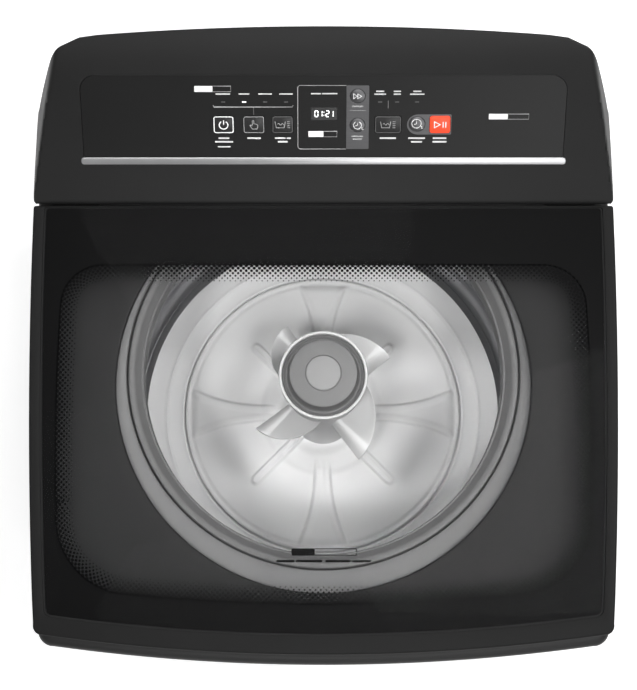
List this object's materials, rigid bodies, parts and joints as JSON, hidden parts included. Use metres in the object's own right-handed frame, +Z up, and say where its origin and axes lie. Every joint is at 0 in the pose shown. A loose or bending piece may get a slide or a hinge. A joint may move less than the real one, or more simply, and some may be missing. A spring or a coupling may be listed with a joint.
{
  "type": "top load washing machine",
  "caption": "Top load washing machine with a glass lid, raised sloping control console, steel cabinet, spinning basket and a central agitator.",
  "frame": {"origin": "on the floor, in the middle of the plan", "axes": "+Z up, -Y towards the user at the front, +X to the user's right"},
  "size_m": [0.6588, 0.7, 1.07],
  "materials": {
    "cabinet_paint": "satin",
    "galvanised_steel": "satin",
    "base_plastic": "matte",
    "deck_plastic": "satin",
    "frame_plastic": "satin",
    "console_plastic": "satin",
    "panel_gloss": "gloss",
    "bright_trim": "polished",
    "tinted_glass": "gloss",
    "display_lens": "gloss",
    "circuit_board": "matte",
    "white_plastic": "satin",
    "ring_plastic": "satin",
    "balance_plastic": "satin",
    "drawer_plastic": "satin",
    "stainless": "polished",
    "basket_plastic": "satin",
    "agitator_plastic": "satin",
    "cup_plastic": "satin",
    "cast_alloy": "cast",
    "motor_steel": "satin",
    "spring_steel": "satin",
    "black_rubber": "matte",
    "key_black": "gloss",
    "key_orange": "satin",
    "key_grey": "satin"
  },
  "bodies": {
    "cabinet": {"cabinet_wrap": "cabinet_paint", "rear_panel": "galvanised_steel", "corner_brackets": "galvanised_steel", "base_frame": "base_plastic", "console_back": "base_plastic", "dispenser_housing": "base_plastic", "cable_gland": "base_plastic", "drain_outlet": "base_plastic", "lid_lock": "base_plastic", "top_deck": "deck_plastic", "console_housing": "console_plastic", "control_panel": "panel_gloss", "chrome_trim": "bright_trim", "display_window": "display_lens", "control_board": "circuit_board", "water_valve": "white_plastic", "pressure_sensor": "white_plastic", "drain_pump": "white_plastic", "rod_seats": "white_plastic", "suspension_rods": "motor_steel", "hinge_pins": "motor_steel", "foot_locknuts": "motor_steel", "panel_screws": "motor_steel", "fill_hose": "black_rubber", "drain_hose": "black_rubber"},
    "lid": {"lid_frame": "frame_plastic", "lid_glass": "tinted_glass"},
    "drawer": {"detergent_drawer": "drawer_plastic"},
    "tub": {"outer_tub": "white_plastic", "tub_ring": "ring_plastic", "tub_bracket": "galvanised_steel", "gearcase": "cast_alloy", "drive_motor": "motor_steel", "spin_bearings": "motor_steel", "tub_seal": "black_rubber", "clutch_actuator": "base_plastic", "suspension_springs": "spring_steel", "drive_belt": "black_rubber"},
    "basket": {"basket_wall": "stainless", "basket_base": "basket_plastic", "balance_ring": "balance_plastic", "basket_hub": "cast_alloy"},
    "agitator": {"wash_plate": "agitator_plastic", "agitator_column": "agitator_plastic", "agitator_shaft": "motor_steel"},
    "softener_pod": {"softener_cup": "cup_plastic"},
    "input_pulley": {"driven_pulley": "cast_alloy"},
    "rotor": {"motor_rotor": "motor_steel"},
    "power_button": {"power_button": "key_black"},
    "cycle_button": {"cycle_button": "key_black"},
    "level_button": {"level_button": "key_black"},
    "options_button": {"options_button": "key_black"},
    "start_button": {"start_button": "key_orange"},
    "forward_button": {"forward_button": "key_grey"},
    "reduce_button": {"reduce_button": "key_grey"},
    "delay_button": {"delay_button": "key_grey"},
    "foot_front_left": {"foot_front_left": "black_rubber"},
    "foot_front_right": {"foot_front_right": "black_rubber"},
    "foot_rear_left": {"foot_rear_left": "black_rubber"},
    "foot_rear_right": {"foot_rear_right": "black_rubber"}
  },
  "joints": [
    {"name": "lid_hinge", "type": "hinge", "parent": "cabinet", "child": "lid", "pos_m": [0, 0.15, 0.928], "axis": [-1, 0, 0], "range_deg": [0, 96]},
    {"name": "drawer_slide", "type": "slide", "parent": "cabinet", "child": "drawer", "axis": [0, -1, 0], "range_m": [0, 0.085]},
    {"name": "tub_bounce", "type": "slide", "parent": "cabinet", "child": "tub", "axis": [0, 0, 1], "range_m": [-0.02, 0.006], "stiffness_N_per_m": 12000, "springref_m": 0.0333, "deforming": ["suspension_springs"]},
    {"name": "basket_spin", "type": "hinge", "parent": "tub", "child": "basket", "pos_m": [0, -0.018, 0.6], "axis": [0, 0, 1], "continuous": true},
    {"name": "agitator_spin", "type": "hinge", "parent": "tub", "child": "agitator", "pos_m": [0, -0.018, 0.6], "axis": [0, 0, 1], "continuous": true},
    {"name": "pod_lift", "type": "slide", "parent": "agitator", "child": "softener_pod", "axis": [0, 0, 1], "range_m": [0, 0.05]},
    {"name": "pulley_spin", "type": "hinge", "parent": "tub", "child": "input_pulley", "pos_m": [0, -0.018, 0.23], "axis": [0, 0, 1], "continuous": true},
    {"name": "motor_spin", "type": "hinge", "parent": "tub", "child": "rotor", "pos_m": [0, 0.147, 0.23], "axis": [0, 0, 1], "continuous": true},
    {"name": "power_press", "type": "slide", "parent": "cabinet", "child": "power_button", "axis": [0, 0.6361, -0.7716], "range_m": [0, 0.0012], "stiffness_N_per_m": 600, "springref_m": -0.003},
    {"name": "cycle_press", "type": "slide", "parent": "cabinet", "child": "cycle_button", "axis": [0, 0.6361, -0.7716], "range_m": [0, 0.0012], "stiffness_N_per_m": 600, "springref_m": -0.003},
    {"name": "level_press", "type": "slide", "parent": "cabinet", "child": "level_button", "axis": [0, 0.6361, -0.7716], "range_m": [0, 0.0012], "stiffness_N_per_m": 600, "springref_m": -0.003},
    {"name": "options_press", "type": "slide", "parent": "cabinet", "child": "options_button", "axis": [0, 0.6361, -0.7716], "range_m": [0, 0.0012], "stiffness_N_per_m": 600, "springref_m": -0.003},
    {"name": "start_press", "type": "slide", "parent": "cabinet", "child": "start_button", "axis": [0, 0.6361, -0.7716], "range_m": [0, 0.0012], "stiffness_N_per_m": 600, "springref_m": -0.003},
    {"name": "forward_press", "type": "slide", "parent": "cabinet", "child": "forward_button", "axis": [0, 0.6361, -0.7716], "range_m": [0, 0.0012], "stiffness_N_per_m": 600, "springref_m": -0.003},
    {"name": "reduce_press", "type": "slide", "parent": "cabinet", "child": "reduce_button", "axis": [0, 0.6361, -0.7716], "range_m": [0, 0.0012], "stiffness_N_per_m": 600, "springref_m": -0.003},
    {"name": "delay_press", "type": "slide", "parent": "cabinet", "child": "delay_button", "axis": [0, 0.6361, -0.7716], "range_m": [0, 0.0012], "stiffness_N_per_m": 600, "springref_m": -0.003},
    {"name": "foot_front_left_turn", "type": "hinge", "parent": "cabinet", "child": "foot_front_left", "pos_m": [-0.282, -0.286, 0.02], "axis": [0, 0, 1], "continuous": true},
    {"name": "foot_front_right_turn", "type": "hinge", "parent": "cabinet", "child": "foot_front_right", "pos_m": [0.282, -0.286, 0.02], "axis": [0, 0, 1], "continuous": true},
    {"name": "foot_rear_left_turn", "type": "hinge", "parent": "cabinet", "child": "foot_rear_left", "pos_m": [-0.282, 0.286, 0.02], "axis": [0, 0, 1], "continuous": true},
    {"name": "foot_rear_right_turn", "type": "hinge", "parent": "cabinet", "child": "foot_rear_right", "pos_m": [0.282, 0.286, 0.02], "axis": [0, 0, 1], "continuous": true}
  ],
  "couplings": [
    {"joint": "pulley_spin", "follows": "agitator_spin", "ratio": 5},
    {"joint": "motor_spin", "follows": "agitator_spin", "ratio": 16.364}
  ]
}
